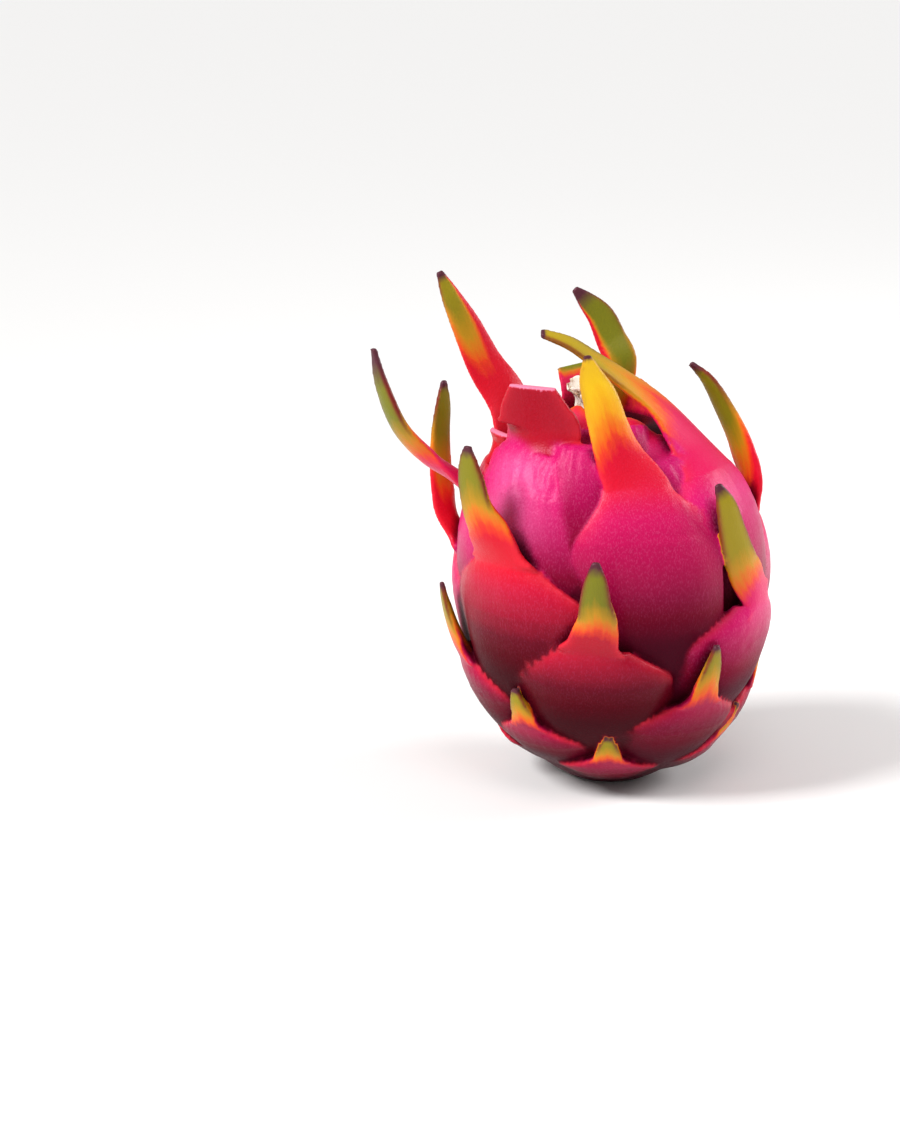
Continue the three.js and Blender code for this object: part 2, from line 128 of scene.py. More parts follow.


# One row for each scale with a tip of its own course. lon and lat place the middle of its rim, lobe and spread are
# the height and half-width of its lobe, rise its swelling and drift how far its foot is turned aside. roll turns the
# tip about its own line, flat opens its curve, and flare, shoulder and lip shape the way from lobe to tip. tip has
# rows of x, y, z and half-width. tone says where along it the red ends, the green starts and the dark point
# starts, and gold how far the green is still yellow. warmth and bladeWarmth turn lobe and blade from pink to
# scarlet, edge says how far the edges ripen first, redSide keeps one side red, bend is where the blade's colours
# begin, top limits how light the lobe gets, and bloom and wrinkled say how much of each it has: bloom is the pale
# waxy bloom with a painted highlight laid into it.
courseScales = [
    scaleAt("crownLeftTrimmed", -46, 50, 42, 23, 5.5, drift=4, roll=30, flat=3, tone=(5, 9, 9), gold=0, warmth=0.0,
            wrinkled=1, bladeWarmth=1.0, shoulder=(-0.62, 0.1), flare=0.95, lip=5, bend=(0.02, 0.16), top=0.78,
            bloom=0.34, tip=[(-22.6, -21, 104, 12.4), (-23.2, -22, 110, 10), (-24, -24, 116.5, 6.4)]),
    scaleAt("crownRightArching", 62, 42, 42, 23, 7, drift=2, tone=(0.22, 0.8, 0.98), gold=0.45, warmth=0.0,
            bladeWarmth=0.1, tip=[(22.5, -12.5, 100, 11.5), (12.5, -10, 110, 6.4), (3, -10.5, 117, 4.8),
            (-5, -12, 122.5, 3.8), (-12.5, -13, 127.5, 2.8), (-20.5, -14, 130.5, 1.4)]),
    scaleAt("crownBack", 172, 60, 34, 17, 4, tone=(-0.1, 0.5, 0.8), gold=0.1, warmth=0.1, bladeWarmth=1.0, redSide=1,
            tip=[(2.5, 20, 115.5, 4.8), (0, 22, 121.5, 4.3), (-3, 23, 128, 3.7), (-7, 23, 132.5, 2.4),
            (-10.5, 22.5, 136, 0.7)]),
    scaleAt("crownBackTrimmed", -158, 60, 30, 13, 3, flat=1.6, tone=(0.84, 1.0, 3), gold=0.1, warmth=0.1,
            bladeWarmth=0.4, edge=0, tip=[(-9, 12, 108, 6.4), (-11, 14, 115.5, 5)]),
    scaleAt("frontTall", 12, 40, 50, 23, 6, drift=15, tone=(0.25, 0.78, 0.96), gold=1, warmth=0.42, bladeWarmth=0.9,
            lip=5.2, shoulder=(-0.38, 0.04), tip=[(0.9, -33, 98.5, 7.2), (-2.5, -31.5, 107, 5.7),
            (-5, -30.5, 115, 4.9), (-7.5, -30, 120.5, 3.5), (-9, -30, 126.5, 0.7)]),
    scaleAt("leftTrimmed", -88, 42, 30, 15, 4, roll=50, flat=1.5, tone=(5, 9, 9), gold=0, warmth=0.6,
            bladeWarmth=1.0, tip=[(-31.5, -3, 95, 7), (-32.6, -4, 99.5, 5)]),
    scaleAt("leftTall", -130, 41, 38, 19, 5, roll=-34, flat=1.5, tone=(0.42, 0.84, 0.94), gold=0.25, warmth=0.2,
            bladeWarmth=1.0, redSide=-1, tip=[(-30, 24, 103, 6.6), (-36.5, 26, 114, 5.2), (-41.5, 27, 124.5, 4.1),
            (-46, 27, 133.5, 2.5), (-49, 27, 140, 0.7)]),
    scaleAt("leftCurling", -82, 30, 36, 17, 5, roll=38, tone=(0.28, 0.62, 0.76), gold=0.1, warmth=0.0,
            bladeWarmth=0.1, edge=0.4, tip=[(-45, -9, 87, 4.8), (-53, -11, 93.5, 4.4), (-60.5, -12, 102.5, 3.6),
            (-65.2, -12, 114.5, 2.6), (-67.2, -12, 125, 0.6)]),
    scaleAt("leftUpright", -102, 10, 38, 20, 5, roll=-30, tone=(0.32, 0.76, 0.93), gold=0.15, warmth=0.1,
            bladeWarmth=1, edge=-1, tip=[(-48, 12, 73, 4.6), (-49.5, 14, 84, 4), (-49.5, 15, 95.5, 3.3),
            (-48.5, 15, 104.5, 2.4), (-48, 15, 111, 0.6)]),
    scaleAt("frontLeft", -47, 15, 45, 25.5, 6, drift=1, roll=12, tone=(0.22, 0.74, 0.9), gold=0.15, warmth=0.9,
            bladeWarmth=1.0, tip=[(-36.5, -33, 78, 7.3), (-39.5, -33, 85.5, 5), (-41, -33, 93.5, 4),
            (-41.5, -33, 99, 2.4), (-41.5, -33, 102.5, 0.7)]),
    scaleAt("rightHooked", 101, 23, 40, 20, 5.5, roll=20, tone=(0.16, 0.7, 0.9), gold=0.15, warmth=0.1,
            bladeWarmth=0.9, edge=-1.6, tip=[(41, 8, 84.5, 6.4), (37.7, 10, 95, 5), (32.4, 12, 105, 3.8),
            (27.5, 12, 112.5, 2.4), (22.5, 12, 117, 0.6)]),
    scaleAt("rightFront", 60, 3, 38, 22, 6, drift=-4, roll=-34, tone=(0.12, 0.52, 0.88), gold=0.3, warmth=0.15,
            bladeWarmth=0.2, edge=0.3, tip=[(34.5, -30, 69, 5), (31.5, -32, 78, 3.9), (29, -33, 86.5, 2.7),
            (26.5, -33, 92, 0.7)]),
    scaleAt("frontLow", -10, -6, 36, 21, 6, tone=(0.2, 0.64, 0.86), gold=0.1, warmth=0.9, bladeWarmth=1.0,
            tip=[(-7, -51, 57.5, 5.6), (-7.5, -52, 63.5, 4.2), (-7.5, -53, 70, 2.9), (-7.5, -53, 75.5, 0.7)]),
]

# The other scales: name, lon, lat, lobe, spread, rise, length and half-width of the tip, and how far it leans
# out from upright at its root and at its point
evenScales = [
    ("crownFold", 30, 60, 26, 12, 2.5, 9, 6.5, -30, -80), ("crownFront", -24, 64, 24, 11, 2, 8, 6.5, -10, -50),
    ("crownInner", 142, 57, 28, 14, 3, 12, 8.5, 0, -36), ("backRight", 130, 11, 38, 20, 5, 23, 6, 2, -12),
    ("backUpper", 164, 28, 40, 20, 5, 22, 6.5, 4, -14), ("backLeft", -168, 14, 38, 20, 5, 30, 6.5, 14, 4),
    ("backWaistRight", 154, -10, 34, 20, 5, 26, 6, 20, 2), ("backWaistLeft", -134, -6, 36, 20, 5, 30, 6, 24, 6),
    ("lowRight", 92, -28, 30, 19, 5, 20, 5.5, 22, 2), ("lowLeft", -78, -18, 30, 18, 5, 24, 5.5, 30, 6),
    ("lowBackLeft", -122, -14, 32, 18, 5, 25, 5.5, 28, 4), ("lowBack", 174, -22, 30, 18, 4.5, 22, 5, 30, 8),
    ("lowFrontRight", 34, -24, 28, 18, 5, 20, 5, 30, 10), ("stemFrontLeft", -42, -34, 18, 14, 4, 14, 5, 36, 14),
    ("stemFront", -4, -46, 14, 13, 3.5, 11, 4.5, 42, 20), ("stemRight", 70, -44, 15, 14, 3.5, 12, 4.5, 42, 20),
    ("stemBackRight", 134, -42, 15, 14, 3.5, 13, 4.5, 42, 18),
    ("stemBackLeft", -158, -46, 14, 13, 3.5, 11, 4.5, 42, 20),
    ("stemLeft", -100, -44, 15, 14, 3.5, 12, 4.5, 42, 20),
]
# Folds of rind in the crown that have no blade of their own: lon, lat, lobe, spread, rise
crownFolds = [(-14, 68, 44, 9, 7.5), (38, 60, 34, 14, 5), (14, 70, 18, 10, 5)]
evenTone = (0.05, 0.75, 0.88)
foldTone = (0.4, 3, 9)  # the short folds in the crown stay red


def bodyRadiusAt(lat):
    return rind["radius"] * np.cos(lat)


def bodyHeightAt(lat):
    reach = np.where(lat > 0, rind["rise"], rind["drop"])
    crater = np.where(lat > 0, rind["craterDepth"] * np.exp(-(bodyRadiusAt(lat) / rind["craterRadius"]) ** 4), 0)
    return rind["middle"] + reach * np.sin(lat) - crater


def middleOffsetAt(z):
    return rind["crownOffset"] * np.maximum(0, (z - rind["middle"]) / rind["rise"]) ** 2


def bodyPoint(lon, lat):
    r, z = bodyRadiusAt(lat), bodyHeightAt(lat)
    lon, r, z = np.broadcast_arrays(lon, r, z)
    return np.stack([middleOffsetAt(z) + r * np.sin(lon), -r * np.cos(lon), z], -1)


def bodyFrame(lon, lat):
    lon, lat = np.broadcast_arrays(np.asarray(lon, float), np.asarray(lat, float))
    reach = np.where(lat > 0, rind["rise"], rind["drop"])
    out = np.stack([np.sin(lon), -np.cos(lon), np.zeros_like(lon)], -1)
    up = -out * (rind["radius"] * np.sin(lat))[..., None]
    up[..., 2] = reach * np.cos(lat)
    up = unit(up)
    side = np.stack([np.cos(lon), np.sin(lon), np.zeros_like(lon)], -1)
    return out, up, side, np.cross(side, up)


def latitudeBelow(lat, distance):
    at = lat
    for _ in range(rind["bodySteps"]):
        reach = rind["rise"] if at > 0 else rind["drop"]
        at -= distance / rind["bodySteps"] / math.hypot(rind["radius"] * math.sin(at), reach * math.cos(at))
    return at


def bentRows(scale, root, out):
    at, rows, steps = root.copy(), [], rind["evenSteps"]
    for i in range(1, steps + 1):
        pitch = math.radians(lerp(scale["pitch"][0], scale["pitch"][1], i / steps))
        at = at + out * math.sin(pitch) * scale["length"] / steps
        at[2] += math.cos(pitch) * scale["length"] / steps
        rows.append((*at, max(rind["pointHalfWidth"], scale["width"] * (1 - i / steps) ** rind["pointTaper"])))
    return rows


def readCurve(rows, marks, distance):
    i = int(np.clip(np.searchsorted(marks, distance) - 1, 0, len(marks) - 2))
    span = marks[i + 1] - marks[i]
    t = (distance - marks[i]) / span

    def slope(k):
        before, after = max(0, k - 1), min(len(rows) - 1, k + 1)
        return (rows[after] - rows[before]) / (marks[after] - marks[before])

    rounded = t * t * (3 - 2 * t)
    return (lerp(rows[i], rows[i + 1], rounded) + t * (1 - t) ** 2 * span * slope(i)
            + t * t * (t - 1) * span * slope(i + 1))


# Rows of points over one scale, from the foot of its lobe to its point: its outer face and how thick it is
def scaleSections(scale):
    lon, rimLat = math.radians(scale["lon"]), math.radians(scale["lat"])
    out, up, side, normal = bodyFrame(lon, rimLat)
    root = bodyPoint(lon, rimLat) + normal * scale["rise"]
    tip = scale.get("tip") or bentRows(scale, root, out)
    rootWidth = tip[0][3] * scale["flare"]
    rows = np.array([(*(root - up * rind["bendLength"]), rootWidth), (*root, rootWidth), *tip], float)
    steps = np.linalg.norm(np.diff(rows[:, :3], axis=0), axis=1)
    marks = np.concatenate([[0], np.cumsum(steps)]) - rind["bendLength"]
    u = np.sin(np.linspace(-1, 1, rind["faceColumns"]) * math.pi / 2)
    n = rind["tipStations"]
    readings = [readCurve(rows, marks, marks[-1] * i / n) for i in range(1, n + 1)]
    firstWidth = readCurve(rows, marks, marks[-1] / rind["tipParts"])[3]
    lip = min(scale["lip"], scale["rise"])
    sections = []

    def halfWidthAt(along, width):
        fromMiddle = min(0, along / scale["lobe"] + 0.5) * 2
        lobe = scale["spread"] * (1 - abs(fromMiddle) ** rind["roundness"]) ** (1 / rind["roundness"])
        return lerp(max(1, lobe), width, float(smooth(along / scale["lobe"], *scale["shoulder"])))

    for i in range(rind["lobeStations"] + 1):
        share = math.sin(i / rind["lobeStations"] * math.pi / 2) ** rind["stationCrowding"]
        along = -scale["lobe"] * (1 - share)
        lat = latitudeBelow(rimLat, -along)
        width = halfWidthAt(along, firstWidth)
        swell = scale["rise"] * (1 - (1 - share) ** 2)
        margin = lerp(rind["sunkMargin"], lip, float(smooth(share, *rind["lipRise"])))
        aside = math.radians(scale["drift"]) * (1 - share)
        lons = lon + aside + u * width / max(rind["craterRadius"], float(bodyRadiusAt(lat)))
        height = margin + (swell - margin) * (1 - np.abs(u) ** rind["puff"])
        away = bodyFrame(lons, lat)[3]
        sections.append({"a": share, "t": 0.0, "u": u, "width": width, "foot": bodyPoint(lons, lat),
                         "away": away, "facing": away, "height": height})
    for i, (x, y, z, width) in enumerate(readings):
        along = marks[-1] * (i + 1) / n
        ahead = unit(readCurve(rows, marks, along + rind["lookAhead"])[:3] - np.array((x, y, z)))
        side = unit(side - ahead * np.dot(side, ahead))
        t = (i + 1) / n
        angle = math.radians(scale["roll"]) * float(smooth(t, 0, rind["rollEnd"]))
        turned = side * math.cos(angle) + np.cross(ahead, side) * math.sin(angle)
        face = np.cross(turned, ahead)
        width = halfWidthAt(along, width)
        rootCurve = float(bodyRadiusAt(rimLat)) * rind["rootCurve"]
        tipCurve = rootWidth * rind["tipCurve"] * scale["flat"]
        curl = 1 / lerp(rootCurve, tipCurve, min(1, t * rind["curlSpeed"]))
        turn = (u * width * curl)[:, None]
        points = (np.array((x, y, z)) + turned * np.sin(turn) / curl - face * (1 - np.cos(turn)) / curl)
        sections.append({"a": 1.0, "t": t, "u": u, "width": width, "foot": points,
                         "away": np.broadcast_to(face, points.shape), "height": np.zeros(len(u)),
                         "facing": face * np.cos(turn) + turned * np.sin(turn)})
    for s in sections:
        fullness = min(1, s["width"] / rind["thinUnder"] + rind["leastShare"])
        middle = lerp(rind["rootThickness"], rind["tipThickness"], s["t"]) * fullness
        thin = rind["marginThickness"] + (middle - rind["marginThickness"]) * (1 - s["u"] ** 2)
        buried = 0 if s["t"] > 0 else 1 - float(smooth(s["a"], rind["buriedFrom"], 1))
        s["thick"] = lerp(thin, rind["lobeDepth"], buried)
    return sections


# A closed tube of faces through rings with equal numbers of points
def loft(rings):
    rings = np.asarray(rings)
    count, size = rings.shape[:2]
    index = np.arange(count * size).reshape(count, size)
    a, b = index[:-1], np.roll(index, -1, 1)[:-1]
    d, c = index[1:], np.roll(index, -1, 1)[1:]
    quads = np.stack([a, b, c, d], -1).reshape(-1, 4)
    ends = np.concatenate([rings[0].mean(0)[None], rings[-1].mean(0)[None]])
    first, last = count * size, count * size + 1
    ring = np.arange(size)
    after = np.roll(ring, -1)
    start = np.stack([after, ring, np.full(size, first)], -1)
    end = np.stack([ring + index[-1, 0], after + index[-1, 0], np.full(size, last)], -1)
    points = np.concatenate([rings.reshape(-1, 3), ends]).astype(np.float32)
    return points, np.concatenate([start, end]).astype(np.uint32), quads.astype(np.uint32)


def bodyShell():
    lats = np.radians(np.linspace(-90, 90, 141))
    lons = np.radians(np.arange(0, 360, 2.5))
    return loft([bodyPoint(lons, np.full(len(lons), lat)) for lat in lats])


# The padded part of a scale, which runs out flat into the body, and its free blade, whose lip stands clear
def padShell(sections):
    rings = []
    for s in sections:
        if s["t"] > 0 or s["a"] > rind["padEnd"][1]:
            continue
        height = lerp(s["height"], rind["padSink"], float(smooth(s["a"], *rind["padEnd"])))
        outer = s["foot"] + s["away"] * height[:, None]
        rings.append(np.concatenate([outer, (s["foot"] - s["away"] * rind["lobeDepth"])[::-1]]))
    return loft(rings)


def bladeShell(sections):
    rings = []
    for s in sections:
        if s["a"] < rind["bladeStart"][0]:
            continue
        sunk = rind["bladeSunk"] * (1 - float(smooth(s["a"], *rind["bladeStart"])))
        outer = s["foot"] + s["away"] * (s["height"] - sunk - rind["edgeRound"])[:, None]
        inner = outer - s["away"] * np.maximum(s["thick"] - sunk, rind["leastThickness"])[:, None]
        rings.append(np.concatenate([outer, inner[::-1][1:-1]]))
    return loft(rings)


# The distance from a shell, on a grid of its own, as the lowest cell and an array
def distances(shell):
    points, triangles, quads = shell
    transform = openvdb.createLinearTransform(voxelSize=rind["voxel"])
    grid = openvdb.FloatGrid.createLevelSetFromPolygons(points, triangles=triangles, quads=quads,
                                                        transform=transform, halfWidth=rind["band"] / rind["voxel"])
    low, high = grid.evalActiveVoxelBoundingBox()
    field = np.zeros(tuple(h - l + 1 for l, h in zip(low, high)), np.float32)
    grid.copyToArray(field, ijk=low)
    return np.array(low), field


# Adds a shape to the field of the fruit, or with sign -1 cuts it out, with a fillet of the given size on the way
def blend(whole, origin, low, field, fillet, swell=0.0, sign=1):
    start = low - origin
    window = tuple(slice(s, s + n) for s, n in zip(start, field.shape))
    old, new = sign * whole[window], field - swell
    mix = np.clip(0.5 + 0.5 * (old - new) / fillet, 0, 1)
    joined = old + (new - old) * mix - fillet * mix * (1 - mix)
    whole[window] = sign * np.where(new < rind["band"] * rind["bandShare"], joined, old)


# The deep gap between two lobes at the right: rows of lon, lat, and how far its middle lies above the body, then
# its radius, how blunt its two ends are and how soon they reach their full width
valley = {
    "course": [(46, 45, 6), (48, 36, 4.5), (50, 27, 2), (49, 16, 0.8), (49, 4, 0.5), (51, -8, 3)], "radius": 5,
    "blunt": 0.06, "fullness": 0.6, "rings": 25,
}


def valleyShell():
    rows = np.array(valley["course"], float)
    marks = np.linspace(0, 1, len(rows))
    rings = []
    for t in np.linspace(0, 1, valley["rings"]):
        lon, lat, height = readCurve(rows, marks, t)
        _, up, side, normal = bodyFrame(math.radians(lon), math.radians(lat))
        at = bodyPoint(math.radians(lon), math.radians(lat)) + normal * height
        bluntly = valley["blunt"] + (1 - 2 * valley["blunt"]) * t
        r = valley["radius"] * math.sin(math.pi * bluntly) ** valley["fullness"]
        turn = np.radians(np.arange(0, 360, 20))[:, None]
        rings.append(at + side * np.cos(turn) * r + normal * np.sin(turn) * r)
    return loft(rings)


def fieldOfRind(scales):
    margin = rind["band"] * 2
    lowCorner = np.array([v / mm for v in cadBox[0]]) - margin
    highCorner = np.array([v / mm for v in cadBox[1]]) + margin
    lowCorner[2] -= rind["roomBelow"]
    origin = np.floor(lowCorner / rind["voxel"]).astype(int)
    shape = tuple(np.ceil((highCorner - lowCorner) / rind["voxel"]).astype(int) + 2)
    whole = np.full(shape, rind["band"], np.float32)
    blend(whole, origin, *distances(bodyShell()), rind["bodyFillet"])
    for scale in scales:
        blend(whole, origin, *distances(padShell(scale["sections"])), rind["lobeFillet"])
    blend(whole, origin, *distances(valleyShell()), rind["lobeFillet"], sign=-1)
    for scale in scales:
        if scale["name"] == "fold":
            continue
        blend(whole, origin, *distances(bladeShell(scale["sections"])), rind["bladeFillet"], rind["edgeRound"])
    x, y, z = (np.arange(n, dtype=np.float32) * rind["voxel"] + o * rind["voxel"] for n, o in zip(shape, origin))
    fromAxis = np.sqrt(x[:, None] ** 2 + y[None, :] ** 2)[:, :, None]
    whole = np.maximum(whole, -z[None, None, :])
    ring = np.maximum(fromAxis - rind["scarRadius"], z[None, None, :] - rind["scarDepth"])
    return origin, np.maximum(whole, -ring)


# Only the largest connected part of the field's surface is kept, so that no crumbs lie in or round the fruit
def meshOfField(origin, whole):
    grid = openvdb.FloatGrid(float(rind["band"]))
    grid.transform = openvdb.createLinearTransform(voxelSize=rind["voxel"])
    grid.copyFromArray(whole, ijk=tuple(int(v) for v in origin))
    points, _, quads = grid.convertToPolygons(0.0, 0.0)
    quads = quads.astype(int)
    starts, ends = quads.ravel(), np.roll(quads, -1, 1).ravel()
    part, before = np.arange(len(points)), None
    while before is None or (part != before).any():
        before = part
        part = before.copy()
        np.minimum.at(part, starts, before[ends])
        np.minimum.at(part, ends, before[starts])
        part = part[part]
    kept = part == np.bincount(part).argmax()
    places = np.cumsum(kept) - 1
    mesh = bpy.data.meshes.new("rind")
    mesh.from_pydata(points[kept].tolist(), [], places[quads[kept[quads[:, 0]]]].tolist())
    return mesh


def coordinates(mesh):
    co = np.zeros(len(mesh.vertices) * 3, np.float32)
    mesh.vertices.foreach_get("co", co)
    return co.reshape(-1, 3).astype(float)


def vertexNormals(mesh):
    normals = np.zeros(len(mesh.vertices) * 3, np.float32)
    mesh.vertex_normals.foreach_get("vector", normals)
    return normals.reshape(-1, 3).astype(float)


def volumeAndTriangles(mesh):
    co = coordinates(mesh)
    mesh.calc_loop_triangles()
    corner = np.zeros(len(mesh.loop_triangles) * 3, np.int32)
    mesh.loop_triangles.foreach_get("vertices", corner)
    a, b, c = co[corner.reshape(-1, 3)].transpose(1, 0, 2)
    return float((a * np.cross(b, c)).sum() / 6), len(corner) // 3


scales = courseScales.copy()
for *place, length, width, rootPitch, pointPitch in evenScales:
    short, high = place[0].startswith("crown"), place[2] > 0
    scales.append(scaleAt(*place, length=length, width=width, pitch=(rootPitch, pointPitch),
                          tone=foldTone if short else evenTone, gold=0.25, warmth=0.35 if high else 0.6,
                          bladeWarmth=0.6))
for place in crownFolds:
    scales.append(scaleAt("fold", *place, length=4, width=3, pitch=(0, 0), tone=(5, 8, 9), gold=0, top=0.7,
                          warmth=0.0, bladeWarmth=0, wrinkled=0.9))
for scale in scales:
    scale["sections"] = scaleSections(scale)
    if scale["name"] == "fold":
        scale["sections"] = [s for s in scale["sections"] if s["t"] == 0 and s["a"] < rind["padEnd"][1]]
print("scales laid out:", len(scales))

origin, whole = fieldOfRind(scales)
rindMesh = meshOfField(origin, whole)
volume, triangleCount = volumeAndTriangles(rindMesh)
if volume < 0:
    rindMesh.flip_normals()
print("rind joined:", triangleCount, "triangles", round(volume / 1000), "cm3")


# Draws each vertex's value towards the mean of its neighbours' values
def evenedOut(mesh, values, rounds, pull=0.5):
    pairs = np.zeros(len(mesh.edges) * 2, np.int32)
    mesh.edges.foreach_get("vertices", pairs)
    a, b = pairs.reshape(-1, 2).T
    count = np.bincount(a, minlength=len(values)) + np.bincount(b, minlength=len(values))
    for _ in range(rounds):
        total = np.bincount(a, values[b], len(values)) + np.bincount(b, values[a], len(values))
        values = (1 - pull) * values + pull * total / np.maximum(count, 1)
    return values


# A light smoothing that keeps thin blades from shrinking
co = coordinates(rindMesh)
for pull in rind["smoothPulls"] * rind["smoothing"]:
    co = np.stack([evenedOut(rindMesh, co[:, k], 1, pull) for k in range(3)], -1)
rindMesh.vertices.foreach_set("co", co.astype(np.float32).ravel())
rindMesh.update()
rindObject = placed("rind_with_scales", rindMesh)


# Turns an object's live modifiers into its plain mesh
def settle(obj, name):
    graph = bpy.context.evaluated_depsgraph_get()
    made = bpy.data.meshes.new_from_object(obj.evaluated_get(graph), preserve_all_data_layers=True, depsgraph=graph)
    obj.modifiers.clear()
    obj.data = made
    made.name = name
    return made


if triangleCount > rind["triangles"]:
    thinning = rindObject.modifiers.new("thinning", "DECIMATE")
    thinning.ratio = rind["triangles"] / triangleCount
    rindMesh = settle(rindObject, "rind")
print("rind thinned:", volumeAndTriangles(rindMesh)[1], "triangles")


# Points all over the scales as they were laid out, which way they face, and what lies there: reach, share across,
# 1 for the inner face, the scale's number and millimetres across
def placesOnScales():
    places, facings, rows = [], [], []
    for index, scale in enumerate(scales):
        for s in scale["sections"]:
            outer = s["foot"] + s["away"] * s["height"][:, None]
            reach = s["a"] - 1 if s["t"] == 0 else s["t"]
            row = np.stack([np.full(len(s["u"]), reach), s["u"], np.zeros(len(s["u"])),
                            np.full(len(s["u"]), index), s["u"] * s["width"]], -1)
            places.append(outer)
            facings.append(s["facing"])
            rows.append(row)
            if s["t"] > 0 or s["a"] > rind["innerFrom"]:
                places.append(outer - s["away"] * s["thick"][:, None])
                facings.append(-s["facing"])
                inner = row.copy()
                inner[:, 2] = 1
                rows.append(inner)
    lons, lats = np.meshgrid(np.radians(np.arange(0, 360, 3)), np.radians(np.linspace(-89, 90, 90)))
    bare = bodyPoint(lons.ravel(), lats.ravel())
    places.append(bare)
    facings.append(bodyFrame(lons.ravel(), lats.ravel())[3])
    rows.append(np.tile([-1.0, 0.0, 0.0, -1, 0.0], (len(bare), 1)))
    return np.concatenate(places), np.concatenate(facings), np.concatenate(rows)


def nearestOnScales(co, normals):
    places, facings, rows = placesOnScales()
    tree = KDTree(len(places))
    for i, p in enumerate(places):
        tree.insert(p, i)
    tree.balance()
    found = np.array([[(hit[1], hit[2]) for hit in tree.find_n(p, rind["neighbours"])] for p in co])
    index, distance = found[:, :, 0].astype(int), found[:, :, 1]
    turnedAway = 1 - (facings[index] * normals[:, None, :]).sum(-1)
    best = np.argmin(distance + rind["turnCost"] * turnedAway, axis=1)
    return rows[index[np.arange(len(co)), best]]


def fieldAt(points):
    cell = np.rint(points / rind["voxel"]).astype(int) - origin
    cell = np.clip(cell, 0, np.array(whole.shape) - 1)
    return whole[cell[:, 0], cell[:, 1], cell[:, 2]]


def markMesh(mesh, name, values, rounds):
    marks = mesh.attributes.new(name, "FLOAT", "POINT")
    marks.data.foreach_set("value", evenedOut(mesh, values.astype(float), rounds).astype(np.float32))


co, normals = coordinates(rindMesh), vertexNormals(rindMesh)
on = nearestOnScales(co, normals)
reach, u, inner, owner, across = on[:, 0], on[:, 1], on[:, 2], on[:, 3].astype(int), on[:, 4]


# What each vertex has from the scale that it lies on, or off the scales
def fromScale(key, bare):
    return np.array([s[key] for s in scales] + [bare])[owner]


def mask(test):
    return np.array([test(s["name"]) for s in scales] + [False])[owner]


tone, gold = fromScale("tone", (2.0, 3.0, 4.0)), fromScale("gold", 0)
bend = fromScale("bend", usualScale["bend"])
bladeMask = smooth(reach, bend[:, 0], bend[:, 1])
lobe = np.clip(1 + reach, 0, 1)
warmth = lerp(fromScale("warmth", 0.5), fromScale("bladeWarmth", 0.5), bladeMask)
# painted shade: where the rind is less open, in its creases, it is drawn darker, over the deeper red it has there
openness = np.mean([np.clip(fieldAt(co + normals * d) / d, 0, 1) for d in rind["openAt"]], axis=0)
towardsEdge = np.abs(u)

ripening = (reach - tone[:, 0]) / (tone[:, 1] - tone[:, 0])
outerRipe = fromScale("edge", 0) * (
    rind["outerGreenEdge"] * towardsEdge ** rind["outerPower"] - rind["outerMiddle"])
innerRipe = rind["innerRipe"] - rind["innerRedEdge"] * towardsEdge ** rind["innerPower"]
ripening = ripening + np.where(inner > 0.5, innerRipe, outerRipe) * bladeMask
redSide = np.clip(u * fromScale("redSide", 0), 0, 1) ** 2
ripening = ripening - rind["redSidePull"] * redSide * smooth(reach, *rind["redSideStart"])

darkPoint = np.clip((reach - tone[:, 2]) / (1 - tone[:, 2]), 0, 1) * (tone[:, 2] < 1)
margin = towardsEdge ** rind["edgePower"]
# rim: a lighter red line along the outer rims of the lobes, partly the rind's own colour, partly a painted highlight
# on the rolled edge
rim = margin * smooth(reach, *rind["rimStart"]) * (inner < 0.5) * mask(lambda name: name != "fold")
lowShade = rind["lowShadeDepth"] * (1 - smooth(co[:, 2], *rind["lowShadeHeights"]))  # painted shade: the rind is drawn darker low down, where shade falls
fleckShare = (1 - rind["bladeFleckLoss"] * bladeMask) * (1 - rind["warmFleckLoss"] * warmth)
# bloom: the pale waxy bloom of the rind, with a painted highlight laid in where the light from the left falls on the
# upper left lobe
bloom = fromScale("bloom", 0) * np.exp(-((u - rind["bloomAndHighlightMiddle"]) / rind["bloomAndHighlightWidth"]) ** 2)
bloom = bloom * smooth(reach, *rind["bloomAndHighlightStart"]) * (1 - smooth(reach, *rind["bloomAndHighlightEnd"]))
fromAxis = np.hypot(co[:, 0] - middleOffsetAt(co[:, 2]), co[:, 1])
trimmed = mask(lambda name: name.endswith("Trimmed"))
for name, values, rounds in (
        ("ripening", np.clip(ripening, -0.5, 1.5), 2), ("gold", gold, 2), ("dark_point", darkPoint, 2),
        ("margin", margin * bladeMask * (1 - rind["goldClears"] * gold), 1), ("rim", rim, 1),
        ("lobe", np.clip(np.minimum(lobe, fromScale("top", 1)) - lowShade, 0, 1), 3),
        ("flecked", np.clip(lobe - lowShade, 0, 1) * fleckShare, 3), ("warmth", warmth, 5), ("bloom", bloom, 4),
        ("across", across, 0), ("reach", reach, 1), ("crease", 1 - openness, 3),
        ("cut_face", trimmed * (tone[:, 0] > 1) * (reach > rind["cutFrom"]), 0),
        ("crater", smooth(fromAxis, *rind["craterMark"]) * (co[:, 2] > rind["craterAbove"]), 2),
        ("scar", smooth(fromAxis, *rind["scarMark"]) * (co[:, 2] < rind["scarBelow"]), 1)):
    markMesh(rindMesh, name, values, rounds)

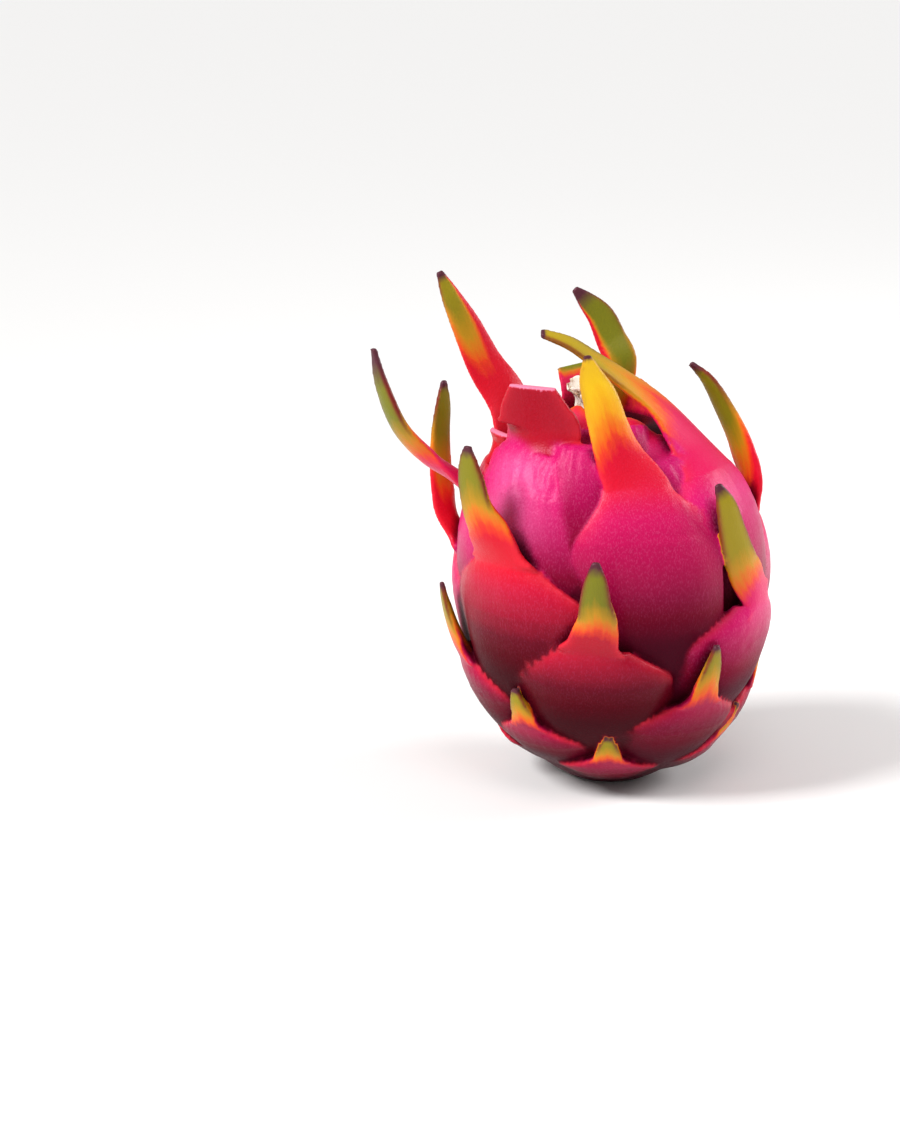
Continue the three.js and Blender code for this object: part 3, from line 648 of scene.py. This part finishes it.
wrinkled = fromScale("wrinkled", 0) * smooth(reach, *rind["wrinkleStart"])
wrinkled = evenedOut(rindMesh, wrinkled * (1 - smooth(reach, *rind["wrinkleEnd"])) * (1 - inner), 4)
shift = Vector(rind["unevenShift"])
wander = np.array([noise.noise(Vector(p) / rind["wanderSize"]) for p in co])
lumps = np.array([noise.noise(Vector(p) / rind["unevenSize"] + shift) for p in co])
ridge = np.sin(across / rind["wrinkleWidth"] * 2 * math.pi + wander * rind["wander"])
push = lumps * rind["unevenness"] * (1 - bladeMask) + ridge * wrinkled * rind["wrinkleDepth"]
push = evenedOut(rindMesh, push * smooth(co[:, 2], *rind["stillBelow"]), 1)
co = (co + normals * push[:, None]) * mm
rindMesh.vertices.foreach_set("co", co.astype(np.float32).ravel())
rindMesh.polygons.foreach_set("use_smooth", np.ones(len(rindMesh.polygons), bool))
rindMesh.update()
print("rind marked and wrinkled")


# One small helper for every node: its inputs (values, or the sockets that feed them), its colour stops and its
# settings. It hands back the node's outputs
def addNode(tree, kind, inputs=None, stops=None, **settings):
    node = tree.nodes.new(kind)
    for key, value in settings.items():
        setattr(node, key, value)
    for key, value in (inputs or {}).items():
        if isinstance(value, bpy.types.NodeSocket):
            tree.links.new(value, node.inputs[key])
        else:
            node.inputs[key].default_value = linearColour(value) if str(value)[0] == "#" else value
    if stops:
        elements = node.color_ramp.elements
        while len(elements) < len(stops):
            elements.new(0.5)
        for element, (position, colour) in zip(elements, stops):
            element.position, element.color = position, linearColour(colour)
    return node.outputs


def emptyMaterial(name):
    material = bpy.data.materials.new(name)
    material.use_nodes = True
    material.node_tree.nodes.clear()
    return material, material.node_tree


# Waxy cuticle over fleshy rind: deep pink with fine pale flecks and a soft gloss. Each scale goes orange,
# yellow and green towards its tip, and its point has died back dark. Sizes are in millimetres
waxy = {
    # each lobe runs dark at its foot and light at its rim: partly the rind's own deeper crimson, partly painted
    # shade; the warm foot and low stops are made deep for the same painted shade
    "foot": "#4c0420", "low": "#80042c", "middle": "#b40854", "high": "#dc0f70", "rim": "#de1058",
    "warmFoot": "#3a040c", "warmLow": "#58020c", "warmHigh": "#b20820", "warmRim": "#d80f24",
    "orange": "#ee4a1a", "amber": "#c48a1a", "green": "#5e6e16", "goldAmber": "#f39a18", "gold": "#f5c21a",
    # the crease colour is painted shade, over the deeper red the rind has in its creases
    # the rim line colour is partly the rind's own red, partly a painted highlight
    "point": "#552a33", "margin": "#7c141c", "rimLine": "#ee2c3c", "crease": "#3c0614", "cut": "#ee7f9e",
    # the bloom colour is the pale waxy bloom with a painted highlight in it
    "crater": "#5a1019", "scar": "#99694a", "fleck": "#ff7cba", "gloss": "#ffc4e2", "bloom": "#ff84c6",
    # where a colour starts to cover the ones under it, where it covers most, and how much that is
    "covers": {"crease": (0.3, 0.95, 0.8), "fleck": (0, 1, 0.17), "rimLine": (0, 1, 0.5), "orange": (0.02, 0.3, 1),
               "amber": (0.22, 0.6, 1), "green": (0.5, 0.95, 1), "point": (0.1, 0.7, 1)},
    "fleckWidth": 0.38, "fleckStretch": 0.45,  # real flecks are 0.3 mm wide; drawn coarser so that they show
    "fleckRange": (0.52, 0.62), "grainSize": 0.5, "grainRange": (0.3, 0.7), "bloomAndHighlightGrain": (0.6, 1.2),
    "blotchSize": 12, "blotchPull": 0.34, "veinWidth": 1.3, "veinPull": 0.3,
    "roughness": (0.3, 0.46), "specular": (0.04, 0.32), "shineOnLobe": (0.2, 0.8), "shadedFrom": (0.15, 0.6),
    "shadedShine": 0.1, "coat": 0.03, "coatRoughness": 0.3, "ior": 1.45,
    "bump": 0.35, "bumpHeight": 0.25, "grainRelief": 0.6, "veinRelief": 0.8,
}


def waxyRind():
    material, tree = emptyMaterial("waxy_rind")
    marks = {name: addNode(tree, "ShaderNodeAttribute", attribute_name=name)["Fac"] for name in (
        "ripening", "gold", "dark_point", "margin", "rim", "lobe", "warmth", "crease", "cut_face", "crater", "scar",
        "across", "reach", "bloom", "flecked")}
    place = addNode(tree, "ShaderNodeTexCoord")["Object"]
    upright = addNode(tree, "ShaderNodeMapping", {"Vector": place, "Scale": (1, 1, waxy["fleckStretch"])})[0]
    alongScale = addNode(tree, "ShaderNodeCombineXYZ", {0: marks["across"], 1: marks["reach"]})[0]
    blotches, streaks, grain, veins = [addNode(tree, "ShaderNodeTexNoise", {
        "Vector": where, "Scale": 1 / size, "Detail": detail, "Roughness": roughness})[0]
        for where, size, detail, roughness in (
            (place, waxy["blotchSize"] * mm, 4, 0.55), (upright, waxy["fleckWidth"] * mm, 2, 0.6),
            (place, waxy["grainSize"] * mm, 2, 0.5), (alongScale, waxy["veinWidth"], 2, 0.5))]
    low, high = waxy["fleckRange"]
    flecks = addNode(tree, "ShaderNodeMapRange", {0: streaks, 1: low, 2: high})[0]
    flecks = addNode(tree, "ShaderNodeMath", {0: flecks, 1: marks["flecked"]}, operation="MULTIPLY")[0]

    shift = (waxy["blotchPull"] + waxy["veinPull"]) / 2  # both patterns lie round a half
    ripe = addNode(tree, "ShaderNodeMath", {0: marks["ripening"], 1: shift}, operation="SUBTRACT")[0]
    for pattern, pull in ((blotches, waxy["blotchPull"]), (veins, waxy["veinPull"])):
        ripe = addNode(tree, "ShaderNodeMath", {0: pattern, 1: pull, 2: ripe}, operation="MULTIPLY_ADD")[0]
    low, high, most = waxy["covers"]["green"]
    greened = addNode(tree, "ShaderNodeMapRange", {0: ripe, 1: low, 2: high, 4: most})[0]
    edged = addNode(tree, "ShaderNodeMath", {0: marks["margin"], 1: greened}, operation="MULTIPLY")[0]
    amber, green = [addNode(tree, "ShaderNodeMix", {0: marks["gold"], 6: plain, 7: golden}, data_type="RGBA")[2]
                    for plain, golden in ((waxy["amber"], waxy["goldAmber"]), (waxy["green"], waxy["gold"]))]
    # the bloom and its painted highlight, broken up by the grain
    low, high = waxy["grainRange"]
    bloom = addNode(tree, "ShaderNodeMapRange", {0: grain, 1: low, 2: high, 3: waxy["bloomAndHighlightGrain"][0],
                                                 4: waxy["bloomAndHighlightGrain"][1]})[0]
    bloom = addNode(tree, "ShaderNodeMath", {0: marks["bloom"], 1: bloom}, operation="MULTIPLY")[0]
    # from foot to rim of each lobe: partly its own colour, partly painted shade towards the foot
    colour, warm = [addNode(tree, "ShaderNodeValToRGB", {0: marks["lobe"]}, stops)[0] for stops in (
        [(0.0, waxy["foot"]), (0.25, waxy["low"]), (0.55, waxy["middle"]), (0.85, waxy["high"]), (1.0, waxy["rim"])],
        [(0.0, waxy["warmFoot"]), (0.4, waxy["warmLow"]), (0.8, waxy["warmHigh"]), (1.0, waxy["warmRim"])])]
    layers = [  # each colour lies over the last, as far as its mark says
        # the crease layer is painted shade, the bloom layer holds a painted highlight and the rim line is partly
        # painted highlight
        ("warm", marks["warmth"], warm), ("bloom", bloom, waxy["bloom"]), ("crease", marks["crease"], waxy["crease"]),
        ("fleck", flecks, waxy["fleck"]), ("rimLine", marks["rim"], waxy["rimLine"]),
        ("orange", ripe, waxy["orange"]), ("amber", ripe, amber), ("green", ripe, green),
        ("margin", edged, waxy["margin"]), ("point", marks["dark_point"], waxy["point"]),
        ("cut", marks["cut_face"], waxy["cut"]), ("crater", marks["crater"], waxy["crater"]),
        ("scar", marks["scar"], waxy["scar"])]
    for name, mark, over in layers:
        low, high, most = waxy["covers"].get(name, (0, 1, 1))
        cover = addNode(tree, "ShaderNodeMapRange", {0: mark, 1: low, 2: high, 4: most})[0]
        colour = addNode(tree, "ShaderNodeMix", {0: cover, 6: colour, 7: over}, data_type="RGBA")[2]

    low, high = waxy["grainRange"]
    dullness = addNode(tree, "ShaderNodeMapRange", {0: grain, 1: low, 2: high, 3: waxy["roughness"][0],
                                                    4: waxy["roughness"][1]})[0]
    relief = streaks
    for pattern, share in ((grain, waxy["grainRelief"]), (veins, waxy["veinRelief"])):
        relief = addNode(tree, "ShaderNodeMath", {0: pattern, 1: share, 2: relief}, operation="MULTIPLY_ADD")[0]
    bump = addNode(tree, "ShaderNodeBump", {"Strength": waxy["bump"], "Distance": waxy["bumpHeight"] * mm,
                                            "Height": relief})[0]
    # the painted shade of the creases also dims the gloss there
    low, high = waxy["shadedFrom"]
    unshaded = addNode(tree, "ShaderNodeMapRange", {0: marks["crease"], 1: low, 2: high, 3: 1,
                                                    4: waxy["shadedShine"]})[0]
    low, high = waxy["shineOnLobe"]
    shine = addNode(tree, "ShaderNodeMapRange", {0: marks["lobe"], 1: low, 2: high, 3: waxy["specular"][0],
                                                 4: waxy["specular"][1]})[0]
    shine = addNode(tree, "ShaderNodeMath", {0: shine, 1: unshaded}, operation="MULTIPLY")[0]
    shader = addNode(tree, "ShaderNodeBsdfPrincipled", {
        "Base Color": colour, "Roughness": dullness, "Normal": bump, "IOR": waxy["ior"],
        "Specular IOR Level": shine, "Specular Tint": waxy["gloss"],
        "Coat Weight": waxy["coat"], "Coat Roughness": waxy["coatRoughness"]})[0]
    addNode(tree, "ShaderNodeOutputMaterial", {"Surface": shader})
    return material


rindMesh.materials.clear()
rindMesh.materials.append(waxyRind())
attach(rindObject, "root")
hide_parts("fruit_with_scales")
print("rind finished")


# The withered flower: papery strips that curl up out of the crater, round a dark hollow. Millimetres and degrees,
# and turns of a strip in radians
flower = {
    "outerStrips": 13, "innerStrips": 8, "outerRing": 3.6, "innerRing": 1.9, "length": 18.5, "innerLength": 14,
    "width": 6.4, "flare": 1.4, "curl": 1.2, "crumple": 1.1, "crumpleSize": 3.2, "thickness": 0.5,
    "base": (-4.6, 0, 96), "lean": 8, "seed": 5, "innerSeed": 9,
    "pointsAcross": 9, "pointsUp": 26, "taperFrom": 0.6, "taperTo": 0.45, "waves": 7.0,
    "turns": ((-0.1, -0.06, -0.3), (0.08, 0.06, 0.3)), "growth": ((0.75, 1.0, 0.78), (1.15, 1.0, 1.0)),
}


def stripTree(name, material, usual):
    tree = bpy.data.node_groups.new(name, "GeometryNodeTree")
    for label, value in usual.items():
        kind = "NodeSocketInt" if isinstance(value, int) else "NodeSocketFloat"
        tree.interface.new_socket(label, in_out="INPUT", socket_type=kind).default_value = value
    tree.interface.new_socket("Geometry", in_out="OUTPUT", socket_type="NodeSocketGeometry")
    given = addNode(tree, "NodeGroupInput")
    strip = addNode(tree, "GeometryNodeMeshGrid", {
        "Size X": given["Width"], "Size Y": 1.0, "Vertices X": flower["pointsAcross"],
        "Vertices Y": flower["pointsUp"]})["Mesh"]
    spot = addNode(tree, "ShaderNodeSeparateXYZ", {0: addNode(tree, "GeometryNodeInputPosition")[0]})
    up = addNode(tree, "ShaderNodeMath", {0: spot[1], 1: 0.5}, operation="ADD")[0]
    taper = addNode(tree, "ShaderNodeMapRange", {0: up, 1: flower["taperFrom"], 2: 1.0, 3: 1.0,
                                                 4: flower["taperTo"]}, interpolation_type="SMOOTHSTEP")[0]
    across = addNode(tree, "ShaderNodeMath", {0: spot[0], 1: taper}, operation="MULTIPLY")[0]
    upSquared = addNode(tree, "ShaderNodeMath", {0: up, 1: 2.0}, operation="POWER")[0]
    lean = addNode(tree, "ShaderNodeMath", {0: upSquared, 1: given["Flare"]}, operation="MULTIPLY")[0]
    waves = addNode(tree, "ShaderNodeMath", {0: up, 1: flower["waves"]}, operation="MULTIPLY")[0]
    swing = addNode(tree, "ShaderNodeMath", {0: waves}, operation="SINE")[0]
    bulge = addNode(tree, "ShaderNodeMath", {0: swing, 1: given["Curl"], 2: lean}, operation="MULTIPLY_ADD")[0]
    outward = addNode(tree, "ShaderNodeMath", {0: bulge, 1: -1.0}, operation="MULTIPLY")[0]
    rise = addNode(tree, "ShaderNodeMath", {0: up, 1: given["Length"]}, operation="MULTIPLY")[0]
    bent = addNode(tree, "ShaderNodeCombineXYZ", {0: across, 1: outward, 2: rise})[0]
    strip = addNode(tree, "GeometryNodeSetPosition", {"Geometry": strip, "Position": bent})[0]
    ring = addNode(tree, "GeometryNodeMeshCircle", {"Vertices": given["Strips"], "Radius": given["Ring"]})[0]
    where = addNode(tree, "GeometryNodeInputPosition")[0]
    outwardRing = addNode(tree, "ShaderNodeVectorMath", {0: where, 3: -1.0}, operation="SCALE")[0]
    facing = addNode(tree, "FunctionNodeAlignEulerToVector", {"Vector": outwardRing}, axis="Y",
                     pivot_axis="Z")[0]
    wobble, grown = [addNode(tree, "FunctionNodeRandomValue", {0: least, 1: most, "Seed": given["Seed"]},
                             data_type="FLOAT_VECTOR")[0] for least, most in (flower["turns"], flower["growth"])]
    turned = addNode(tree, "FunctionNodeRotateEuler", {0: facing, 1: wobble}, rotation_type="EULER",
                     space="LOCAL")[0]
    strips = addNode(tree, "GeometryNodeInstanceOnPoints", {
        "Points": ring, "Instance": strip, "Rotation": turned, "Scale": grown})[0]
    strips = addNode(tree, "GeometryNodeRealizeInstances", {0: strips})[0]
    strips = addNode(tree, "GeometryNodeSetMaterial", {"Geometry": strips, "Material": material})[0]
    addNode(tree, "NodeGroupOutput", {0: strips})
    return tree


# Dry petal tissue: thin and fibrous, bone white going brown where it is oldest, quite matt. Sizes in millimetres
papery = {
    "bone": "#fbf0e2", "tan": "#c79a72", "brown": "#4b3520", "roughness": 0.85, "fibre": 0.5, "fibreStretch": 0.2,
    "patch": 3.2, "fibreShare": 0.5, "bump": 0.5, "bumpHeight": 0.3,
}


def paperyPetal():
    material, tree = emptyMaterial("dry_petal_tissue")
    place = addNode(tree, "ShaderNodeTexCoord")["Object"]
    stretched = addNode(tree, "ShaderNodeMapping", {"Vector": place, "Scale": (1, 1, papery["fibreStretch"])})[0]
    fibres = addNode(tree, "ShaderNodeTexNoise", {"Vector": stretched, "Scale": 1 / (papery["fibre"] * mm),
                                                  "Detail": 3})[0]
    patches = addNode(tree, "ShaderNodeTexNoise", {"Vector": place, "Scale": 1 / (papery["patch"] * mm),
                                                   "Detail": 2})[0]
    age = addNode(tree, "ShaderNodeMath", {0: fibres, 1: papery["fibreShare"], 2: patches},
                  operation="MULTIPLY_ADD")[0]
    colour = addNode(tree, "ShaderNodeValToRGB", {0: age}, [
        (0.0, papery["bone"]), (0.8, papery["bone"]), (0.92, papery["tan"]), (1.0, papery["brown"])])[0]
    bump = addNode(tree, "ShaderNodeBump", {"Strength": papery["bump"], "Distance": papery["bumpHeight"] * mm,
                                            "Height": fibres})[0]
    shader = addNode(tree, "ShaderNodeBsdfPrincipled", {"Base Color": colour, "Roughness": papery["roughness"],
                                                        "Normal": bump})[0]
    addNode(tree, "ShaderNodeOutputMaterial", {"Surface": shader})
    return material


petalTissue = paperyPetal()
everyRing = {"Width": flower["width"] * mm, "Flare": flower["flare"] * mm, "Curl": flower["curl"] * mm}
rings = [{"Strips": flower[side + "Strips"], "Ring": flower[side + "Ring"] * mm, "Length": length * mm, "Seed": seed,
          **everyRing}
         for side, length, seed in (("outer", flower["length"], flower["seed"]),
                                    ("inner", flower["innerLength"], flower["innerSeed"]))]
tree = stripTree("curled_strips", petalTissue, rings[0])
sockets = {item.name: item.identifier for item in tree.interface.items_tree if item.in_out == "INPUT"}
stripMeshes = []
for values in rings:
    holder = placed("strips", bpy.data.meshes.new("strips"))
    maker = holder.modifiers.new("strips", "NODES")
    maker.node_group = tree
    for label, value in values.items():
        maker[sockets[label]] = value
    wall = holder.modifiers.new("wall", "SOLIDIFY")
    wall.thickness, wall.offset = flower["thickness"] * mm, 0
    stripMeshes.append(settle(holder, "strips"))
    bpy.data.objects.remove(holder)
flowerMesh = stripMeshes[0]
flowerObject = placed("papery_flower", flowerMesh)
joined = bmesh.new()
for mesh in stripMeshes:
    joined.from_mesh(mesh)
low = Vector(flower["base"]) * mm
noise.seed_set(flower["seed"])
for vertex in joined.verts:
    height = vertex.co.z
    crumple = noise.noise_vector(vertex.co / (flower["crumpleSize"] * mm)) * flower["crumple"] * mm
    vertex.co += low + crumple + Vector((-math.tan(math.radians(flower["lean"])) * height, 0, 0))
joined.to_mesh(flowerMesh)
joined.free()
flowerMesh.polygons.foreach_set("use_smooth", np.ones(len(flowerMesh.polygons), bool))
print("flower made:", volumeAndTriangles(flowerMesh)[1], "triangles")
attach(flowerObject, "root")
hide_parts("withered_flower")


# Pale studio table and soft lights. Metres, and degrees round and above the fruit
studio = {"floorSize": 9, "floorColour": "#fdfcfb", "floorRoughness": 0.7, "world": "#ffffff",
          "worldStrength": 0.3, "lampAim": (0, 0, 0.06)}
lights = [  # watts for a lamp with a size, watts a square metre for the far one
    {"name": "window_left", "kind": "SUN", "round": -66, "above": 42, "distance": 2, "size": 0.4, "power": 3.2},
    {"name": "strip_right", "kind": "AREA", "round": 104, "above": 24, "distance": 0.7, "size": 0.3, "power": 3},
    {"name": "top_front", "kind": "AREA", "round": 14, "above": 58, "distance": 0.9, "size": 0.4, "power": 1.5},
]
camera = {"lens": 90, "sensor": 36, "above": 15, "distance": 0.795, "aim": (-0.0458, 0, 0.0617)}


def aimed(obj, around, above, distance, aim):
    turn, lift = math.radians(around), math.radians(above)
    away = Vector((math.sin(turn) * math.cos(lift), -math.cos(turn) * math.cos(lift), math.sin(lift)))
    obj.location = Vector(aim) + away * distance
    obj.rotation_mode = "QUATERNION"
    obj.rotation_quaternion = (-away).to_track_quat("-Z", "Y")


for light in lights:
    lamp = bpy.data.lights.new(light["name"], light["kind"])
    lamp.energy = light["power"]
    if light["kind"] == "SUN":
        lamp.angle = light["size"]  # radians across, so that its shadows stay soft
    else:
        lamp.size = light["size"]
    aimed(placed(light["name"], lamp), light["round"], light["above"], light["distance"], studio["lampAim"])

lens = bpy.data.cameras.new("camera")
lens.lens, lens.sensor_width = camera["lens"], camera["sensor"]
cameraObject = placed("camera", lens)
aimed(cameraObject, 0, camera["above"], camera["distance"], camera["aim"])
bpy.context.scene.camera = cameraObject

half = studio["floorSize"] / 2
floorMesh = bpy.data.meshes.new("floor")
floorMesh.from_pydata([(-half, -half, 0), (half, -half, 0), (half, half, 0), (-half, half, 0)], [], [(0, 1, 2, 3)])
floorPaint, tree = emptyMaterial("pale_matt_paint")
floorShade = addNode(tree, "ShaderNodeBsdfPrincipled", {
    "Base Color": studio["floorColour"], "Roughness": studio["floorRoughness"]})[0]
addNode(tree, "ShaderNodeOutputMaterial", {"Surface": floorShade})
floorMesh.materials.append(floorPaint)
floorObject = placed("floor", floorMesh)

world = bpy.data.worlds.new("studio")
world.use_nodes = True
background = world.node_tree.nodes["Background"].inputs
background["Color"].default_value = linearColour(studio["world"])
background["Strength"].default_value = studio["worldStrength"]
bpy.context.scene.world = world
bpy.context.scene.view_settings.view_transform = "Standard"
